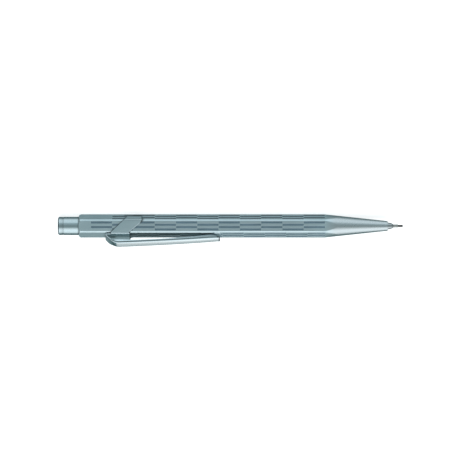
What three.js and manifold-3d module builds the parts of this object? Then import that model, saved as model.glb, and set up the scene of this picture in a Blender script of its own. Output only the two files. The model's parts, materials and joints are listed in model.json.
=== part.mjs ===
// A push-button lead holder: a hexagonal metal barrel turned down to a cone, a bent sheet clip that grips round it,
// a push cap over an eraser, and a sliding cartridge whose three-jaw clutch feeds and grips a 0.7 mm lead.
// Millimetres, +X towards the writing tip, +Z up. The holder lies on the flat opposite its clip.
// A station is a distance along the axis from the barrel's rear face, so the cap's stations are negative.
import * as THREE from "three";
import { mergeVertices } from "three/addons/utils/BufferGeometryUtils.js";
import Module from "manifold-3d";

const wasm = await Module();
wasm.setup();

// Driving dimensions
const ACROSS_FLATS = 8;
const CORNER_ROUND = 0.9;
const BARREL_LENGTH = 118.8;
const CONE_START = 94.5;
const CONE_END_RADIUS = 1.88;
const CAP_RADIUS = 3.52;
const CAP_PROUD = 8;
const LEAD_RADIUS = 0.35;
const LEAD_LENGTH = 60;
const LEAD_END = 124.7;
const CLIP_SHEET = 0.45;
const SLIP = 0.05; // radial clearance of a sliding or pressed fit

// Derived sizes of the barrel
const FLAT = ACROSS_FLATS / 2;
const COS30 = Math.cos(Math.PI / 6);
const CORNER = (FLAT - CORNER_ROUND) / COS30 + CORNER_ROUND;
const CONE_SLOPE = (CORNER - CONE_END_RADIUS) / (BARREL_LENGTH - CONE_START);

// Bores of the barrel, rear to front
const CAP_BORE = { radius: CAP_RADIUS + 0.08, end: 11 };
const MAIN_BORE = { radius: 3.1, end: 93 };
const CLUTCH_BORE = { radius: 2.45, end: 108 };
const NOSE_BORE_RADIUS = 1.42;

const FINE = 48; // sides of an outer turned piece
const COARSE = 24; // sides of a piece inside the barrel

const X = new THREE.Vector3(1, 0, 0);
const Y = new THREE.Vector3(0, 1, 0);
const Z = new THREE.Vector3(0, 0, 1);

// Solids and geometries

function solidOf(geometry) {
  const bare = geometry.index ? geometry.toNonIndexed() : geometry.clone();
  bare.deleteAttribute("normal");
  bare.deleteAttribute("uv");
  const merged = mergeVertices(bare, 1e-4);
  return new wasm.Manifold(
    new wasm.Mesh({
      numProp: 3,
      vertProperties: merged.attributes.position.array,
      triVerts: new Uint32Array(merged.index.array),
    }),
  );
}

function geometryOf(solid) {
  const mesh = solid.getMesh();
  const geometry = new THREE.BufferGeometry();
  geometry.setAttribute("position", new THREE.BufferAttribute(mesh.vertProperties, 3));
  geometry.setIndex(new THREE.BufferAttribute(mesh.triVerts, 1));
  geometry.computeVertexNormals();
  return geometry;
}

// A body of revolution about the axis. The profile is [station, radius] points with the outer wall running forwards.
// It closes on itself, or starts and ends on the axis.
function turned(profile, sides = COARSE) {
  const points = profile.map(([station, radius]) => new THREE.Vector2(radius, station));
  const onAxis = profile[0][1] === 0;
  if (!onAxis) points.push(points[0].clone());
  return new THREE.LatheGeometry(points, sides).rotateZ(-Math.PI / 2);
}

function tube(start, end, outer, inner, sides = COARSE) {
  return turned([[start, inner], [start, outer], [end, outer], [end, inner]], sides);
}

function rod(start, end, radius, sides = COARSE) {
  return turned([[start, 0], [start, radius], [end, radius], [end, 0]], sides);
}

// A shape drawn in the plane of the first two directions and extruded along the third.
function prism(shape, depth, [across, up, out], start = 0, curveSegments = 6) {
  return new THREE.ExtrudeGeometry(shape, { depth, bevelEnabled: false, curveSegments })
    .translate(0, 0, start)
    .applyMatrix4(new THREE.Matrix4().makeBasis(across, up, out));
}

const ALONG_AXIS = [Y, Z, X];
const FROM_SIDE = [X, Z, Y.clone().negate()];
const FROM_TOP = [X, Y, Z];

// A hexagon with flats at top and bottom, its flats this far from the centre and its corners rounded. The top flat can
// be lifted, which draws its two corners together.
function hexagon(flat, round, lift = 0) {
  const shape = new THREE.Shape();
  const reach = (flat - round) / COS30;
  for (let corner = 0; corner < 6; corner++) {
    const angle = (corner * Math.PI) / 3;
    const from = angle - Math.PI / 6;
    const raised = corner === 1 || corner === 2 ? lift : 0;
    const across = reach * Math.cos(angle) - (Math.sign(Math.cos(angle)) * raised) / Math.sqrt(3);
    shape.absarc(across, reach * Math.sin(angle) + raised, round, from, from + Math.PI / 3);
  }
  return shape;
}

// Barrel: the hexagonal bar, rounded at the rear and turned to a cone in front, with stepped bores

const REAR_RIM = 3.75;
const REAR_ROUND = 1.1;

function barrel() {
  const bar = prism(hexagon(FLAT, CORNER_ROUND), BARREL_LENGTH, ALONG_AXIS, 0, 4);
  const rearEdge = new THREE.EllipseCurve(REAR_ROUND, REAR_RIM, REAR_ROUND, CORNER - REAR_RIM + 0.02, Math.PI, Math.PI / 2, true);
  const turnedTo = [[0, 0]];
  for (const p of rearEdge.getPoints(6)) turnedTo.push([p.x, p.y]);
  turnedTo.push([CONE_START - 1, CORNER + CONE_SLOPE]);
  turnedTo.push([BARREL_LENGTH, CONE_END_RADIUS], [BARREL_LENGTH, 0]);
  const bores = turned([
    [-1, 0], [-1, CAP_BORE.radius],
    [CAP_BORE.end, CAP_BORE.radius], [CAP_BORE.end, MAIN_BORE.radius],
    [MAIN_BORE.end, MAIN_BORE.radius], [MAIN_BORE.end, CLUTCH_BORE.radius],
    [CLUTCH_BORE.end, CLUTCH_BORE.radius], [CLUTCH_BORE.end, NOSE_BORE_RADIUS],
    [BARREL_LENGTH + 1, NOSE_BORE_RADIUS], [BARREL_LENGTH + 1, 0],
  ], FINE);
  return geometryOf(solidOf(bar).intersect(solidOf(turned(turnedTo, 96))).subtract(solidOf(bores)));
}

// Clip: a strap gripping five faces of the bar, folded back over itself into a spring arm

const CLIP_SEAT = FLAT + SLIP; // distance of the strap's underside from the axis
const PLATE_LIFT = 0.3; // how much higher the strap's base plate stands, clear of the bar
const PLATE_SEAT = CLIP_SEAT + PLATE_LIFT;
const CLIP_BEND = 0.15; // inside radius of the strap's bends round the bar's corners
const CLIP_WIDTH = 3.9;
const CLIP_TIP_WIDTH = 3.3;
const FOLD_RADIUS = 0.62; // outside of the fold
const FOLD = new THREE.Vector2(10.87, PLATE_SEAT + FOLD_RADIUS);
const FOLD_GAP = 0.3; // where the strap's node ends and the arm's begins
const RAMP_ANGLE = THREE.MathUtils.degToRad(39.6);
const CREST = new THREE.Vector2(14.19, 8.52); // where the ramp and the arm would meet if the bend were sharp
const ARM_START = new THREE.Vector2(15.6, 8.44);
const ARM_BOW = new THREE.Vector2(35, 7.65);
const ARM_END = new THREE.Vector2(54.3, 6.05);
const STRAP = { rear: 12.3, front: 19.5 };
const WING_REACH = 3.9; // how far a wing rises, seen square to the face it crosses

// One wing with the base plate under it, outlined square to the face it crosses.
function wingOutline() {
  const plateBottom = -FLAT - 2;
  const bend = -2.3;
  const shape = new THREE.Shape();
  shape.moveTo(STRAP.rear, plateBottom);
  shape.lineTo(STRAP.front, plateBottom);
  shape.lineTo(STRAP.front, bend);
  shape.lineTo(23.9, 1.1);
  shape.quadraticCurveTo(24.9, 2, 24.5, 2.9);
  shape.quadraticCurveTo(24.1, WING_REACH, 23.2, WING_REACH);
  shape.lineTo(18.7, WING_REACH);
  shape.lineTo(17.3, 2.3);
  shape.lineTo(STRAP.rear, bend);
  return shape;
}

function clipStrap() {
  const ring = hexagon(CLIP_SEAT + CLIP_SHEET, CLIP_BEND + CLIP_SHEET, PLATE_LIFT);
  ring.holes.push(hexagon(CLIP_SEAT, CLIP_BEND, PLATE_LIFT));
  const band = solidOf(prism(ring, 30, ALONG_AXIS, 0, 4));
  const depth = 9;
  const cuts = [1, -1].map((side) => {
    const up = new THREE.Vector3(0, side * 0.5, -COS30);
    const out = X.clone().cross(up);
    return solidOf(prism(wingOutline(), depth, [X, up, out], side > 0 ? 0 : -depth));
  });
  const tongue = new THREE.Shape();
  tongue.moveTo(FOLD.x + FOLD_GAP, PLATE_SEAT);
  tongue.lineTo(STRAP.rear + 1, PLATE_SEAT);
  tongue.lineTo(STRAP.rear + 1, PLATE_SEAT + CLIP_SHEET);
  tongue.lineTo(FOLD.x + FOLD_GAP, PLATE_SEAT + CLIP_SHEET);
  const tab = solidOf(prism(tongue, CLIP_WIDTH, FROM_SIDE, -CLIP_WIDTH / 2));
  return geometryOf(band.intersect(cuts[0].add(cuts[1])).add(tab));
}

// The sheet of the arm from the side: round the fold, up the ramp, over the crest and down to the tip.
function armSheetOutline() {
  const outer = new THREE.Path();
  outer.absarc(FOLD.x, FOLD.y, FOLD_RADIUS, -Math.PI / 2, Math.PI / 2 + RAMP_ANGLE, true);
  outer.lineTo(CREST.x - Math.cos(RAMP_ANGLE), CREST.y - Math.sin(RAMP_ANGLE));
  outer.quadraticCurveTo(CREST.x, CREST.y, ARM_START.x, ARM_START.y);
  outer.quadraticCurveTo(ARM_BOW.x, ARM_BOW.y, ARM_END.x, ARM_END.y);
  const points = outer.getPoints(8);
  const inner = points.map((point, i) => {
    const before = points[Math.max(i - 1, 0)];
    const after = points[Math.min(i + 1, points.length - 1)];
    const run = after.clone().sub(before).normalize();
    return point.clone().add(new THREE.Vector2(run.y, -run.x).multiplyScalar(CLIP_SHEET));
  });
  return new THREE.Shape([...points, ...inner.reverse()]);
}

// A cheek of the arm from the side: it starts on the ramp, fills the bend of the crest, and is deepest at the bump
// that rests on the barrel.
function cheekOutline() {
  const shape = new THREE.Shape();
  shape.moveTo(12.2, 6.3);
  shape.splineThru([
    new THREE.Vector2(13.2, 6.5),
    new THREE.Vector2(14.2, 6.75),
    new THREE.Vector2(15.6, 6.95),
    new THREE.Vector2(18.5, 7.05),
    new THREE.Vector2(22, 7.1),
    new THREE.Vector2(29, 6.8),
    new THREE.Vector2(37, 6.3),
    new THREE.Vector2(43, 5.75),
    new THREE.Vector2(47.5, 5),
    new THREE.Vector2(51.3, 4.12),
    new THREE.Vector2(53.3, 4.45),
    new THREE.Vector2(54.3, 5.3),
  ]);
  shape.lineTo(ARM_END.x, ARM_END.y - 0.1);
  shape.lineTo(35, 7.25);
  shape.lineTo(16, 8.2);
  shape.lineTo(14.7, 8.2);
  return shape;
}

// The arm from above, drawn in by the given amount on each side.
function armPlan(inset) {
  const rear = CLIP_WIDTH / 2 - inset;
  const front = CLIP_TIP_WIDTH / 2 - inset;
  const end = ARM_END.x + 0.2 - inset;
  const round = 0.7;
  const shape = new THREE.Shape();
  shape.moveTo(FOLD.x - 2, -rear);
  shape.lineTo(CREST.x, -rear);
  shape.lineTo(end - round, -front);
  shape.quadraticCurveTo(end, -front, end, -front + round);
  shape.lineTo(end, front - round);
  shape.quadraticCurveTo(end, front, end - round, front);
  shape.lineTo(CREST.x, rear);
  shape.lineTo(FOLD.x - 2, rear);
  return shape;
}

function clipArm() {
  const sheet = solidOf(prism(armSheetOutline(), CLIP_WIDTH, FROM_SIDE, -CLIP_WIDTH / 2));
  const cheeks = solidOf(prism(cheekOutline(), CLIP_WIDTH, FROM_SIDE, -CLIP_WIDTH / 2, 3));
  const plan = solidOf(prism(armPlan(0), 12, FROM_TOP, 0, 4));
  const hollow = solidOf(prism(armPlan(CLIP_SHEET), 12, FROM_TOP, 0, 4));
  return geometryOf(sheet.add(cheeks.subtract(hollow)).intersect(plan));
}

// Push cap, its gripping liner, and the eraser in its ferrule

const TUBE = { rear: -1, front: 84, outer: 2.4, inner: 1.95 };
const CAP_FRONT = 6;
const CAP_INNER = 2.75;
const FERRULE = { rear: -4.3, outer: TUBE.outer - 0.02, inner: 2.13 };

function pushCap() {
  const edge = 0.5;
  const rear = -CAP_PROUD;
  const groove = { station: rear + 2.2, width: 0.3, depth: 0.08 };
  return turned([
    [rear, 0],
    [rear, CAP_RADIUS - edge],
    [rear + edge * 0.3, CAP_RADIUS - edge * 0.3],
    [rear + edge, CAP_RADIUS],
    [groove.station, CAP_RADIUS],
    [groove.station + groove.width / 2, CAP_RADIUS - groove.depth],
    [groove.station + groove.width, CAP_RADIUS],
    [CAP_FRONT, CAP_RADIUS],
    [CAP_FRONT, CAP_INNER],
    [rear + 1.2, CAP_INNER],
    [rear + 1.2, 0],
  ], FINE);
}

function capLiner() {
  return tube(0, CAP_FRONT - 0.5, CAP_INNER - 0.03, TUBE.outer + SLIP);
}

function eraserFerrule() {
  const floor = TUBE.rear - 0.5;
  const plug = TUBE.inner - SLIP;
  return turned([
    [floor, 0],
    [floor, FERRULE.inner],
    [FERRULE.rear, FERRULE.inner],
    [FERRULE.rear, FERRULE.outer],
    [TUBE.rear - 0.03, FERRULE.outer],
    [TUBE.rear - 0.03, plug],
    [3.5, plug],
    [3.5, 1.5],
    [floor + 0.6, 1.5],
    [floor + 0.6, 0],
  ]);
}

function eraser() {
  const rear = -6.3;
  const radius = FERRULE.inner - SLIP;
  return turned([
    [rear, 0],
    [rear, radius - 0.6],
    [rear + 0.2, radius - 0.2],
    [rear + 0.6, radius],
    [TUBE.rear - 0.55, radius],
    [TUBE.rear - 0.55, 0],
  ]);
}

// Cartridge: reservoir tube, connector, collet and jaws, which slide together when the cap is pressed

const CONNECTOR = { rear: 79, flange: 85.2, bore: 1.03 };
const COLLET = { rear: 81.5, front: 92, outer: 1, inner: 0.45 };
const JAW = { rear: 92.3, coneRear: 98.3, coneFront: 100.7, front: 101.2, head: 1.6, grip: LEAD_RADIUS + 0.02 };
const JAW_SLIT = 0.25;
const GUIDE_BUSH = { rear: 10, front: 16 };

function connector() {
  const plug = TUBE.inner - SLIP;
  return turned([
    [CONNECTOR.rear, 1.5],
    [CONNECTOR.rear, plug],
    [TUBE.front + 0.03, plug],
    [TUBE.front + 0.03, TUBE.outer],
    [CONNECTOR.flange, TUBE.outer],
    [CONNECTOR.flange, CONNECTOR.bore],
    [COLLET.rear - 0.03, CONNECTOR.bore],
    [COLLET.rear - 0.03, COLLET.inner],
    [COLLET.rear - 0.6, COLLET.inner],
  ]);
}

function jaw(index) {
  const whole = turned([
    [JAW.rear, COLLET.inner],
    [JAW.rear, COLLET.outer],
    [JAW.coneRear, COLLET.outer],
    [JAW.coneFront, JAW.head],
    [JAW.front, JAW.head - 0.3],
    [JAW.front, JAW.grip],
    [JAW.coneRear, JAW.grip],
    [JAW.coneRear, COLLET.inner],
  ]);
  const apex = JAW_SLIT / 2 / Math.sin(Math.PI / 3);
  const wedge = new THREE.Shape();
  const reach = 6;
  wedge.moveTo(0, apex);
  wedge.lineTo(reach * COS30, apex + reach / 2);
  wedge.lineTo(0, apex + 2 * reach);
  wedge.lineTo(-reach * COS30, apex + reach / 2);
  const sector = prism(wedge, 20, ALONG_AXIS, JAW.rear - 5).rotateX((index * 2 * Math.PI) / 3);
  return geometryOf(solidOf(whole).intersect(solidOf(sector)));
}

// Coil spring between the connector's flange and the clutch sleeve's inner wall, its ends closed up.
function mainSpring() {
  const wire = 0.17;
  const radius = 1.48;
  const turns = 10;
  const start = CONNECTOR.flange + wire + 0.05;
  const end = SLEEVE.wall - wire - 0.05;
  const closed = 2 * wire * 1.15; // pitch of a closed end turn
  const steps = turns * 14;
  const points = [];
  for (let i = 0; i <= steps; i++) {
    const turn = (turns * i) / steps;
    const open = THREE.MathUtils.clamp((turn - 1) / (turns - 2), 0, 1);
    const shut = Math.min(turn, 1) + Math.max(turn - turns + 1, 0);
    const station = start + shut * closed + open * (end - start - 2 * closed);
    const angle = turn * 2 * Math.PI;
    points.push(new THREE.Vector3(station, radius * Math.cos(angle), radius * Math.sin(angle)));
  }
  const section = new THREE.Shape().absarc(0, 0, wire, 0, 2 * Math.PI);
  return new THREE.ExtrudeGeometry(section, {
    steps,
    extrudePath: new THREE.CatmullRomCurve3(points),
    curveSegments: 3,
  });
}

// Clutch housing in the nose: sleeve, ring, nozzle, retainer and guide pipe

const SLEEVE = { rear: 88.6, collar: 92.8, wall: 96.5, front: 107, outer: 2.4, inner: 2, stem: 1.15 };
const RING = { rear: 98.2, front: 100.2, outer: SLEEVE.inner - SLIP, bore: 1.3 };
const NOZZLE = { rear: 104.6, flange: 107.05, shoulder: 107.95, tip: 120.9, shank: 1.38 };
const RETAINER = { rear: 105, front: 108, outer: 1.22 };
const PIPE = { rear: 117.2, front: 122.8, outer: 0.575, inner: 0.4 };

function clutchSleeve() {
  return turned([
    [SLEEVE.rear, SLEEVE.inner],
    [SLEEVE.rear, SLEEVE.outer],
    [SLEEVE.collar - 2, SLEEVE.outer],
    [SLEEVE.collar - 2, MAIN_BORE.radius - SLIP],
    [SLEEVE.collar, MAIN_BORE.radius - SLIP],
    [SLEEVE.collar, SLEEVE.outer],
    [SLEEVE.front, SLEEVE.outer],
    [SLEEVE.front, SLEEVE.inner],
    [SLEEVE.wall + 1, SLEEVE.inner],
    [SLEEVE.wall + 1, SLEEVE.stem],
    [SLEEVE.wall, SLEEVE.stem],
    [SLEEVE.wall, SLEEVE.inner],
  ]);
}

function clutchRing() {
  const slope = (JAW.head - COLLET.outer) / (JAW.coneFront - JAW.coneRear);
  const clearance = 0.06;
  const mouth = COLLET.outer + clearance + slope * (RING.front - JAW.coneRear);
  const coneStart = RING.front - (mouth - RING.bore) / slope;
  return turned([
    [RING.rear, RING.bore],
    [RING.rear, RING.outer],
    [RING.front, RING.outer],
    [RING.front, mouth],
    [coneStart, RING.bore],
  ]);
}

function nozzle() {
  const seat = RETAINER.front + 0.05;
  return turned([
    [NOZZLE.rear, RETAINER.outer + 0.03],
    [NOZZLE.rear, SLEEVE.inner - SLIP],
    [NOZZLE.flange, SLEEVE.inner - SLIP],
    [NOZZLE.flange, SLEEVE.outer],
    [NOZZLE.shoulder, SLEEVE.outer],
    [NOZZLE.shoulder, NOZZLE.shank],
    [BARREL_LENGTH, NOZZLE.shank],
    [BARREL_LENGTH + 0.5, 1.28],
    [BARREL_LENGTH + 1.2, 1.08],
    [NOZZLE.tip - 0.1, 0.76],
    [NOZZLE.tip, 0.68],
    [NOZZLE.tip, PIPE.outer + 0.02],
    [PIPE.rear - 0.02, PIPE.outer + 0.02],
    [PIPE.rear - 0.02, COLLET.inner],
    [seat, COLLET.inner],
    [seat, RETAINER.outer + 0.03],
  ], FINE);
}

function guideBush() {
  return turned([
    [GUIDE_BUSH.rear, TUBE.outer + 0.1],
    [GUIDE_BUSH.rear, CAP_BORE.radius - SLIP],
    [CAP_BORE.end - SLIP, CAP_BORE.radius - SLIP],
    [CAP_BORE.end - SLIP, MAIN_BORE.radius - SLIP],
    [GUIDE_BUSH.front, MAIN_BORE.radius - SLIP],
    [GUIDE_BUSH.front, TUBE.outer + 0.1],
  ]);
}

// Leads: one in the clutch, and spares lying side by side at the bottom of the reservoir

function lead() {
  const blunt = 0.12;
  return turned([
    [LEAD_END - LEAD_LENGTH, 0],
    [LEAD_END - LEAD_LENGTH, LEAD_RADIUS],
    [LEAD_END - blunt, LEAD_RADIUS],
    [LEAD_END, LEAD_RADIUS - blunt],
    [LEAD_END, 0],
  ], 16);
}

function spareLead(index) {
  const rear = 14 + 2 * index;
  const orbit = TUBE.inner - LEAD_RADIUS - 0.08;
  const angle = (index - 1) * THREE.MathUtils.degToRad(28);
  return rod(rear, rear + LEAD_LENGTH, LEAD_RADIUS, 12).translate(0, orbit * Math.sin(angle), -orbit * Math.cos(angle));
}

// Materials

function material(colour, roughness, metalness) {
  return new THREE.MeshStandardMaterial({ color: new THREE.Color(...colour), roughness, metalness });
}

const palladium = material([0.5, 0.58, 0.62], 0.35, 1);
const polished = material([0.72, 0.79, 0.82], 0.12, 1);
const springSteel = material([0.56, 0.64, 0.67], 0.25, 1);
const brass = material([0.72, 0.55, 0.27], 0.3, 1);
const steel = material([0.6, 0.6, 0.6], 0.3, 1);
const rubber = material([0.86, 0.86, 0.84], 0.85, 0);
const blackRubber = material([0.05, 0.05, 0.05], 0.8, 0);
const plastic = material([0.2, 0.21, 0.22], 0.5, 0);
const graphite = material([0.06, 0.06, 0.065], 0.5, 0);

// Assembly

const holder = new THREE.Group();
holder.position.set((CAP_PROUD - LEAD_END) / 2, 0, FLAT);

function add(name, geometry, finish) {
  const mesh = new THREE.Mesh(geometry, finish);
  mesh.name = name;
  holder.add(mesh);
}

add("barrel", barrel(), palladium);
add("clip_strap", clipStrap(), springSteel);
add("clip_arm", clipArm(), springSteel);
add("push_cap", pushCap(), polished);
add("cap_liner", capLiner(), plastic);
add("eraser_ferrule", eraserFerrule(), brass);
add("eraser", eraser(), rubber);
add("rear_guide_bush", guideBush(), brass);
add("lead_tube", tube(TUBE.rear, TUBE.front, TUBE.outer, TUBE.inner), plastic);
add("tube_connector", connector(), brass);
add("collet_stem", tube(COLLET.rear, COLLET.front, COLLET.outer, COLLET.inner), brass);
for (let index = 0; index < 3; index++) add(`collet_jaw_${index + 1}`, jaw(index), brass);
add("clutch_ring", clutchRing(), brass);
add("main_spring", mainSpring(), steel);
add("clutch_sleeve", clutchSleeve(), brass);
add("nozzle", nozzle(), polished);
add("lead_retainer", tube(RETAINER.rear, RETAINER.front, RETAINER.outer, LEAD_RADIUS + 0.03), blackRubber);
add("guide_pipe", tube(PIPE.rear, PIPE.front, PIPE.outer, PIPE.inner), steel);
add("lead", lead(), graphite);
for (let index = 0; index < 3; index++) add(`spare_lead_${index + 1}`, spareLead(index), graphite);

export default holder;
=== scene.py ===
"""A push-button lead holder: engraved hexagonal barrel, bent sheet clip, polished cap and nozzle.

Stations are millimetres along the axis from the barrel's rear face; y and z are millimetres from the axis.
"""
import json
import math

import bmesh
import bpy
from mathutils import Matrix, Vector


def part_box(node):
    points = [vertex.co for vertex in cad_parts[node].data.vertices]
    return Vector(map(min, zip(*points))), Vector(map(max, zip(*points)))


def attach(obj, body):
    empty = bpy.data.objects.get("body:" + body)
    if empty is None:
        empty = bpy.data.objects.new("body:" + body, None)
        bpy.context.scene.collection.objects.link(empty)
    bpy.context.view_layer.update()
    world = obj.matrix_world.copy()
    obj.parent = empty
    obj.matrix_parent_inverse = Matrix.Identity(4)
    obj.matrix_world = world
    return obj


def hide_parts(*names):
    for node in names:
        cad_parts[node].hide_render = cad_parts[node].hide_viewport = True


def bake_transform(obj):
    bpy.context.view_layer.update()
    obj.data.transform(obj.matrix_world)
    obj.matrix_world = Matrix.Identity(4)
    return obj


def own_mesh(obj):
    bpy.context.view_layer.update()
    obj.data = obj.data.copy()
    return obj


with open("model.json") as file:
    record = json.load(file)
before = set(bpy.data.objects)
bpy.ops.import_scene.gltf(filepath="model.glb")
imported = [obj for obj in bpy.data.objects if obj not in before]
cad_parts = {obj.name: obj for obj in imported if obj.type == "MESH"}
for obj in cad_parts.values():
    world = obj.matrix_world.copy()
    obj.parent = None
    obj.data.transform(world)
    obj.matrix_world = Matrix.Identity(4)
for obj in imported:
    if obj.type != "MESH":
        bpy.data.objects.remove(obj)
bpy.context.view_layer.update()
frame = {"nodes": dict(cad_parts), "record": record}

MM = 0.001
scene = bpy.context.scene

barrel_low, barrel_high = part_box("barrel")
REAR_X = barrel_low[0]
AXIS_Z = (barrel_low[2] + barrel_high[2]) / 2
LENGTH = (barrel_high[0] - barrel_low[0]) / MM
FLAT = (barrel_high[2] - barrel_low[2]) / 2 / MM


def station(x):
    """A row-frame x as a station."""
    return (x - REAR_X) / MM


def place(s, y, z):
    """A station and two distances from the axis as a row-frame point."""
    return Vector((REAR_X + s * MM, y * MM, AXIS_Z + z * MM))


# ---------------------------------------------------------------- node helpers


class Tree:
    """A node tree with short calls for making and joining nodes."""

    def __init__(self, owner):
        owner.use_nodes = True
        self.tree = owner.node_tree
        self.tree.nodes.clear()

    def add(self, kind, settings=None, **inputs):
        node = self.tree.nodes.new("ShaderNode" + kind)
        for key, value in (settings or {}).items():
            setattr(node, key, value)
        for key, value in inputs.items():
            self.put(node, key, value)
        return node

    def put(self, node, key, value):
        index = int(key[1:]) if key[0] == "i" and key[1:].isdigit() else key.replace("_", " ")
        socket = node.inputs[index]
        if isinstance(value, bpy.types.NodeSocket):
            self.tree.links.new(value, socket)
        elif isinstance(value, (tuple, list)) and len(value) == 3 and socket.type == "RGBA":
            socket.default_value = (*value, 1)
        else:
            socket.default_value = value

    def math(self, operation, a, b=0.0, c=0.0):
        return self.add("Math", {"operation": operation}, i0=a, i1=b, i2=c).outputs[0]

    def ramp(self, value, start, end, low=0.0, high=1.0):
        node = self.add("MapRange", {"interpolation_type": "SMOOTHSTEP"}, Value=value)
        self.put(node, "From_Min", start)
        self.put(node, "From_Max", end)
        self.put(node, "To_Min", low)
        self.put(node, "To_Max", high)
        return node.outputs[0]

    def mix(self, factor, a, b):
        node = self.add("Mix", {"data_type": "RGBA"}, i0=factor)
        for index, value in ((6, a), (7, b)):
            self.put(node, f"i{index}", value)
        return node.outputs[2]

    def noise(self, coordinates, scale, detail=2.0, roughness=0.5):
        """Noise whose grain has this many features per metre along x, y and z."""
        mapping = self.add("Mapping", Vector=coordinates, Scale=scale)
        node = self.add("TexNoise", Vector=mapping.outputs[0], Scale=1.0, Detail=detail, Roughness=roughness)
        return node.outputs[0]

    def attribute(self, name):
        """A mark that the mesh carries from point to point."""
        return self.add("Attribute", {"attribute_name": name}).outputs["Fac"]


# ---------------------------------------------------------------- materials

SHADE = 0.2  # how much of its colour metal keeps under full painted shade
POLISH = -0.18  # what full polish does to the roughness
CROWN_LEAN = 0.13  # where "crown" is 1, the shading normal leans towards +y by this slope, for a painted highlight
TURNED_CALM = 0.65  # how much of its relief the turned cone lacks
ALONG = (300.0, 9000.0, 9000.0)  # grain drawn out along the axis
AROUND = (14000.0, 500.0, 500.0)  # turning marks round the axis
SMUDGES = (130.0, 260.0, 260.0)
BLOTCHES = (45.0, 90.0, 90.0)
SCRATCHES = (500.0, 5200.0, 2600.0)


def metal(name, colour, roughness, grain, relief, tarnish, engraved=None, crown=None, turned_end=None):
    """Plated or bare metal with a directional grain, faint handling marks and fine bright scratches.

    Attributes mark where it differs: "shaded" takes painted shade, the shadow of a close neighbour, and the
    painted darkening of the side flats; "polish" is smoother; "crown" takes the crown colour and a leaned
    normal, a painted highlight; "turned" is the turned cone, and "engraved" is a cell.
    """
    material = bpy.data.materials.new(name)
    t = Tree(material)
    where = t.add("TexCoord").outputs["Object"]
    lines = t.noise(where, grain, 3.0, 0.6)
    smudges = t.noise(where, SMUDGES, 4.0, 0.55)
    blotches = t.noise(where, BLOTCHES, 2.0)
    scratches = t.ramp(t.noise(where, SCRATCHES, 1.0), 0.66, 0.72)

    dull = tuple(c * (1 - tarnish) * k for c, k in zip(colour, (0.97, 1.0, 1.0)))
    tint = t.mix(t.ramp(blotches, 0.35, 0.7), colour, dull)
    tint = t.mix(t.math("MULTIPLY", scratches, 0.25), tint, tuple(min(c * 1.12, 1) for c in colour))

    rough = t.math("MULTIPLY_ADD", lines, 0.10, roughness - 0.05)
    rough = t.math("MULTIPLY_ADD", t.ramp(smudges, 0.45, 0.75), 0.06, rough)
    rough = t.math("MULTIPLY_ADD", scratches, 0.05, rough)
    if engraved:
        cut = t.attribute("engraved")
        patina_and_shade = t.mix(t.ramp(smudges, 0.3, 0.75), engraved, tuple(c * 1.25 for c in engraved))
        tint = t.mix(cut, tint, patina_and_shade)
        rough = t.math("MULTIPLY_ADD", cut, 0.16, rough)
    rough = t.math("MULTIPLY_ADD", t.attribute("polish"), POLISH, rough)
    strength = 1.0
    if turned_end:
        end = t.attribute("turned")
        tint = t.mix(end, tint, turned_end)
        strength = t.math("MULTIPLY_ADD", end, -TURNED_CALM, 1.0)
    facing = t.add("NewGeometry").outputs["Normal"]
    # painted highlight: the crown colour, and a shading normal leaned towards +y
    if crown:
        top = t.attribute("crown")
        tint = t.mix(top, tint, crown)
        lean = t.add("VectorMath", {"operation": "SCALE"}, i0=(0.0, CROWN_LEAN, 0.0), Scale=top).outputs[0]
        facing = t.add("VectorMath", {"operation": "ADD"}, i0=facing, i1=lean).outputs[0]
        facing = t.add("VectorMath", {"operation": "NORMALIZE"}, i0=facing).outputs[0]
    # painted shade: where "shaded" is 1 the colour falls to SHADE of itself
    tint = t.mix(t.attribute("shaded"), tint, tuple(c * SHADE for c in colour))
    height = t.math("MULTIPLY_ADD", scratches, -0.6, lines)
    bump = t.add("Bump", Strength=strength, Distance=relief, Height=height, Normal=facing)
    shader = t.add("BsdfPrincipled", Base_Color=tint, Metallic=1.0, Roughness=rough, Normal=bump.outputs[0])
    t.add("OutputMaterial", Surface=shader.outputs[0])
    return material


def plastic(name, colour, roughness, speckle=0.15, relief=2e-6, scale=1500.0, specular=0.5):
    """Moulded or rubbery material: a fine mottled surface with slight colour drift."""
    material = bpy.data.materials.new(name)
    t = Tree(material)
    where = t.add("TexCoord").outputs["Object"]
    fine = t.noise(where, (scale, scale, scale), 4.0, 0.6)
    broad = t.noise(where, (160.0, 160.0, 160.0), 3.0)
    darker = tuple(c * (1 - speckle) for c in colour)
    lighter = tuple(min(c * (1 + speckle), 1) for c in colour)
    tint = t.mix(fine, darker, lighter)
    tint = t.mix(t.ramp(broad, 0.4, 0.7, 0.0, 0.35), tint, darker)
    rough = t.math("MULTIPLY_ADD", fine, 0.12, roughness - 0.06)
    bump = t.add("Bump", Strength=0.6, Distance=relief, Height=fine)
    shader = t.add("BsdfPrincipled", Base_Color=tint, Roughness=rough, Normal=bump.outputs[0])
    shader.inputs["Specular IOR Level"].default_value = specular
    t.add("OutputMaterial", Surface=shader.outputs[0])
    return material


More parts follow.
